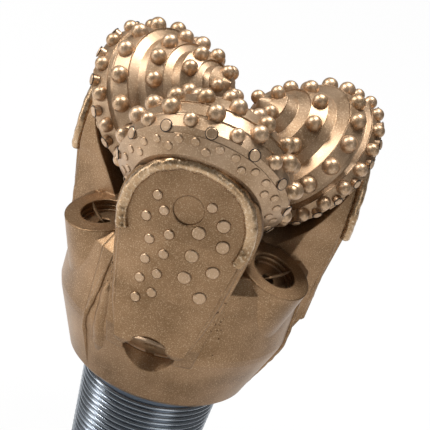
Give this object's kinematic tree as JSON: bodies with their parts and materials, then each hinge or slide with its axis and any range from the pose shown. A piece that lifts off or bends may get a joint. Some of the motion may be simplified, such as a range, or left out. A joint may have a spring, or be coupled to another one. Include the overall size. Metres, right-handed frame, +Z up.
{
  "type": "tricone drill bit",
  "caption": "Rotary rock bit: three cones with domed carbide inserts roll on the slanted journals of three welded legs, over a tapered threaded pin.",
  "frame": {"origin": "centre of the pin's end face, on the bit's axis, where the water bore opens", "axes": "+Z up the bit's axis from the pin to the cones, -Y towards leg 1, legs 2 and 3 follow at 120 degree steps counter-clockwise seen from above"},
  "size_m": [0.3035, 0.2974, 0.4708],
  "materials": {
    "bronze_paint": "metallic bronze paint over steel, satin",
    "bare_steel": "machined",
    "carbide": "bronze paint over tungsten carbide, polished domes",
    "bearing_bronze": "machined bearing alloy",
    "ball_steel": "polished bearing balls",
    "seal_rubber": "matt"
  },
  "bodies": {
    "bit_body": {"leg_1": "bronze_paint", "ball_plug_1": "bronze_paint", "wear_buttons_1": "carbide", "nozzle_1": "bronze_paint", "nozzle_o_ring_1": "seal_rubber", "nozzle_retainer_1": "bare_steel", "reservoir_cap_1": "bronze_paint", "reservoir_snap_ring_1": "bare_steel", "reservoir_canister_1": "bare_steel", "reservoir_diaphragm_1": "seal_rubber", "leg_2": "bronze_paint", "ball_plug_2": "bronze_paint", "wear_buttons_2": "carbide", "nozzle_2": "bronze_paint", "nozzle_o_ring_2": "seal_rubber", "nozzle_retainer_2": "bare_steel", "reservoir_cap_2": "bronze_paint", "reservoir_snap_ring_2": "bare_steel", "reservoir_canister_2": "bare_steel", "reservoir_diaphragm_2": "seal_rubber", "leg_3": "bronze_paint", "ball_plug_3": "bronze_paint", "wear_buttons_3": "carbide", "nozzle_3": "bronze_paint", "nozzle_o_ring_3": "seal_rubber", "nozzle_retainer_3": "bare_steel", "reservoir_cap_3": "bronze_paint", "reservoir_snap_ring_3": "bare_steel", "reservoir_canister_3": "bare_steel", "reservoir_diaphragm_3": "seal_rubber"},
    "rolling_cone_1": {"cone_1": "bronze_paint", "gauge_inserts_1": "carbide", "inner_inserts_1": "carbide", "trim_inserts_1": "carbide", "heel_buttons_1": "carbide", "journal_bushing_1": "bearing_bronze", "nose_bushing_1": "bearing_bronze", "thrust_washer_1": "bearing_bronze", "seal_ring_1": "seal_rubber"},
    "rolling_cone_2": {"cone_2": "bronze_paint", "gauge_inserts_2": "carbide", "inner_inserts_2": "carbide", "trim_inserts_2": "carbide", "heel_buttons_2": "carbide", "journal_bushing_2": "bearing_bronze", "nose_bushing_2": "bearing_bronze", "thrust_washer_2": "bearing_bronze", "seal_ring_2": "seal_rubber"},
    "rolling_cone_3": {"cone_3": "bronze_paint", "gauge_inserts_3": "carbide", "inner_inserts_3": "carbide", "trim_inserts_3": "carbide", "heel_buttons_3": "carbide", "journal_bushing_3": "bearing_bronze", "nose_bushing_3": "bearing_bronze", "thrust_washer_3": "bearing_bronze", "seal_ring_3": "seal_rubber"},
    "ball_set_1": {"retention_balls_1": "ball_steel"},
    "ball_set_2": {"retention_balls_2": "ball_steel"},
    "ball_set_3": {"retention_balls_3": "ball_steel"}
  },
  "joints": [
    {"name": "cone_1_spin", "type": "hinge", "parent": "bit_body", "child": "rolling_cone_1", "pos_m": [0, -0.11561, 0.36728], "axis": [0, 0.8059, 0.592], "continuous": true},
    {"name": "cone_2_spin", "type": "hinge", "parent": "bit_body", "child": "rolling_cone_2", "pos_m": [0.10012, 0.05781, 0.36728], "axis": [-0.698, -0.403, 0.592], "continuous": true},
    {"name": "cone_3_spin", "type": "hinge", "parent": "bit_body", "child": "rolling_cone_3", "pos_m": [-0.10012, 0.05781, 0.36728], "axis": [0.698, -0.403, 0.592], "continuous": true},
    {"name": "ball_set_1_orbit", "type": "hinge", "parent": "bit_body", "child": "ball_set_1", "pos_m": [0, -0.11561, 0.36728], "axis": [0, 0.8059, 0.592], "continuous": true},
    {"name": "ball_set_2_orbit", "type": "hinge", "parent": "bit_body", "child": "ball_set_2", "pos_m": [0.10012, 0.05781, 0.36728], "axis": [-0.698, -0.403, 0.592], "continuous": true},
    {"name": "ball_set_3_orbit", "type": "hinge", "parent": "bit_body", "child": "ball_set_3", "pos_m": [-0.10012, 0.05781, 0.36728], "axis": [0.698, -0.403, 0.592], "continuous": true}
  ],
  "couplings": [
    {"joint": "ball_set_1_orbit", "follows": "cone_1_spin", "ratio": 0.62},
    {"joint": "ball_set_2_orbit", "follows": "cone_2_spin", "ratio": 0.62},
    {"joint": "ball_set_3_orbit", "follows": "cone_3_spin", "ratio": 0.62}
  ]
}
